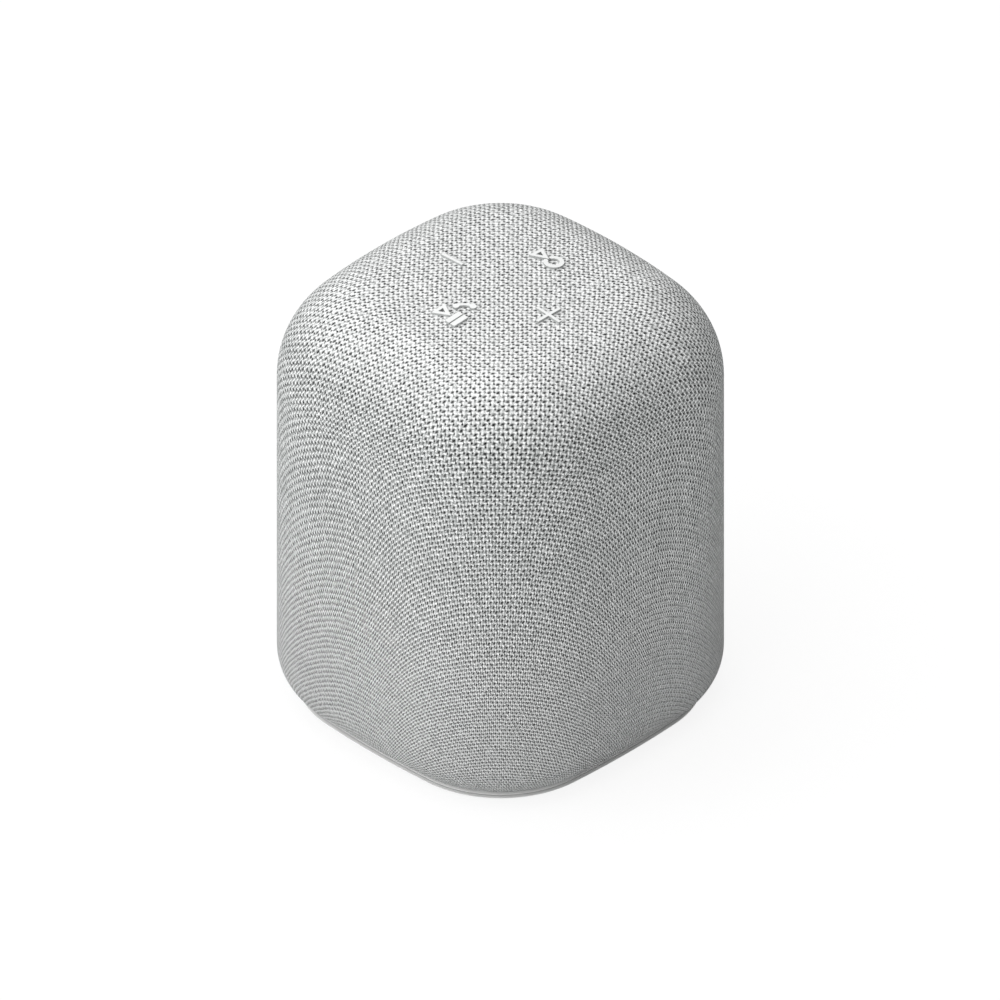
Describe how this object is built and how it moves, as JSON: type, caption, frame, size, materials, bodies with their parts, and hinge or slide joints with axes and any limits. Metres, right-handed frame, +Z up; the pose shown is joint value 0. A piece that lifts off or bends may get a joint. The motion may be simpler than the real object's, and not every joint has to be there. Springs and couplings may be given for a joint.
{
  "type": "smart speaker",
  "caption": "Compact cloth-covered smart speaker with a rounded square body, raised press symbols on its domed top and a rear panel with a power socket.",
  "frame": {"origin": "middle of the footprint, on the surface the foot stands on", "axes": "+Z up, front at -Y, right side of the front view at +X"},
  "size_m": [0.09, 0.09, 0.1103],
  "materials": {
    "cloth": "pale woven cloth, matt",
    "white_plastic": "moulded, fine matt",
    "base_plastic": "moulded grey, satin",
    "foot_rubber": "matt",
    "screw_steel": "zinc plated",
    "battery_wrap": "shrink wrap",
    "bracket_steel": "pressed sheet",
    "black_plastic": "moulded, textured",
    "soft_rubber": "matt",
    "motor_steel": "zinc plated",
    "magnet": "ground ferrite",
    "cone_paper": "pressed pulp",
    "coil_copper": "enamelled wire",
    "spider_cloth": "impregnated cloth",
    "dome_cloth": "coated silk",
    "radiator_metal": "satin",
    "board_green": "solder mask",
    "ribbon_film": "polyimide film",
    "microphone_can": "plated can",
    "panel_plastic": "moulded, fine matt",
    "button_plastic": "moulded, fine matt"
  },
  "bodies": {
    "speaker_body": {"antenna": "board_green", "base_screw_1": "screw_steel", "base_screw_2": "screw_steel", "base_screw_3": "screw_steel", "base_screw_4": "screw_steel", "base_tray": "white_plastic", "battery_bracket": "bracket_steel", "battery_pack": "battery_wrap", "bottom_cover": "base_plastic", "control_board": "board_green", "enclosure_back": "black_plastic", "enclosure_box": "black_plastic", "enclosure_gasket": "soft_rubber", "fabric_cover": "cloth", "foot_pad": "foot_rubber", "grille_shell": "white_plastic", "heat_sink": "radiator_metal", "hem_ring": "base_plastic", "key_deck": "black_plastic", "main_board": "board_green", "microphone_left": "microphone_can", "microphone_right": "microphone_can", "port_board": "board_green", "power_socket": "microphone_can", "processor_shield": "bracket_steel", "radiator_frame_left": "black_plastic", "radiator_frame_right": "black_plastic", "radiator_surround_left": "soft_rubber", "radiator_surround_right": "soft_rubber", "rear_panel": "panel_plastic", "ribbon_cable": "ribbon_film", "switch_link": "black_plastic", "switch_pairing": "black_plastic", "switch_play_call": "black_plastic", "switch_power": "black_plastic", "switch_volume_down": "black_plastic", "switch_volume_up": "black_plastic", "tweeter_frame": "black_plastic", "tweeter_motor": "motor_steel", "tweeter_surround": "soft_rubber", "woofer_frame": "motor_steel", "woofer_magnet": "magnet", "woofer_spider": "spider_cloth", "woofer_surround": "soft_rubber", "woofer_top_plate": "motor_steel", "woofer_yoke": "motor_steel"},
    "volume_down_key": {"key_volume_down": "white_plastic"},
    "volume_up_key": {"key_volume_up": "white_plastic"},
    "play_call_key": {"key_play_call": "white_plastic"},
    "link_key": {"key_link": "white_plastic"},
    "woofer_moving": {"woofer_cone": "cone_paper", "woofer_dust_cap": "cone_paper", "woofer_voice_coil": "coil_copper"},
    "tweeter_moving": {"tweeter_dome": "dome_cloth"},
    "left_radiator": {"radiator_plate_left": "radiator_metal"},
    "right_radiator": {"radiator_plate_right": "radiator_metal"},
    "power_button": {"button_power": "button_plastic"},
    "pairing_button": {"button_pairing": "button_plastic"}
  },
  "joints": [
    {"name": "volume_down_press", "type": "slide", "parent": "speaker_body", "child": "volume_down_key", "axis": [0, 0, -1], "range_m": [0, 0.0005], "stiffness_N_per_m": 1400, "springref_m": -0.0003},
    {"name": "volume_up_press", "type": "slide", "parent": "speaker_body", "child": "volume_up_key", "axis": [0, 0, -1], "range_m": [0, 0.0005], "stiffness_N_per_m": 1400, "springref_m": -0.0003},
    {"name": "play_call_press", "type": "slide", "parent": "speaker_body", "child": "play_call_key", "axis": [0, 0, -1], "range_m": [0, 0.0005], "stiffness_N_per_m": 1400, "springref_m": -0.0003},
    {"name": "link_press", "type": "slide", "parent": "speaker_body", "child": "link_key", "axis": [0, 0, -1], "range_m": [0, 0.0005], "stiffness_N_per_m": 1400, "springref_m": -0.0003},
    {"name": "power_press", "type": "slide", "parent": "speaker_body", "child": "power_button", "axis": [0, -1, 0], "range_m": [0, 0.0004], "stiffness_N_per_m": 1400, "springref_m": -0.0003},
    {"name": "pairing_press", "type": "slide", "parent": "speaker_body", "child": "pairing_button", "axis": [0, -1, 0], "range_m": [0, 0.0004], "stiffness_N_per_m": 1400, "springref_m": -0.0003},
    {"name": "woofer_stroke", "type": "slide", "parent": "speaker_body", "child": "woofer_moving", "axis": [0, -1, 0], "range_m": [-0.0025, 0.0025], "stiffness_N_per_m": 900, "deforming": ["woofer_surround", "woofer_spider"]},
    {"name": "tweeter_stroke", "type": "slide", "parent": "speaker_body", "child": "tweeter_moving", "axis": [0, -1, 0], "range_m": [-0.00025, 0.00025], "stiffness_N_per_m": 2500, "deforming": ["tweeter_surround"]},
    {"name": "left_radiator_stroke", "type": "slide", "parent": "speaker_body", "child": "left_radiator", "axis": [-1, 0, 0], "range_m": [-0.003, 0.003], "stiffness_N_per_m": 600, "deforming": ["radiator_surround_left"]},
    {"name": "right_radiator_stroke", "type": "slide", "parent": "speaker_body", "child": "right_radiator", "axis": [1, 0, 0], "range_m": [-0.003, 0.003], "stiffness_N_per_m": 600, "deforming": ["radiator_surround_right"]}
  ],
  "couplings": [
    {"joint": "left_radiator_stroke", "follows": "woofer_stroke", "ratio": -0.69},
    {"joint": "right_radiator_stroke", "follows": "woofer_stroke", "ratio": -0.69}
  ]
}
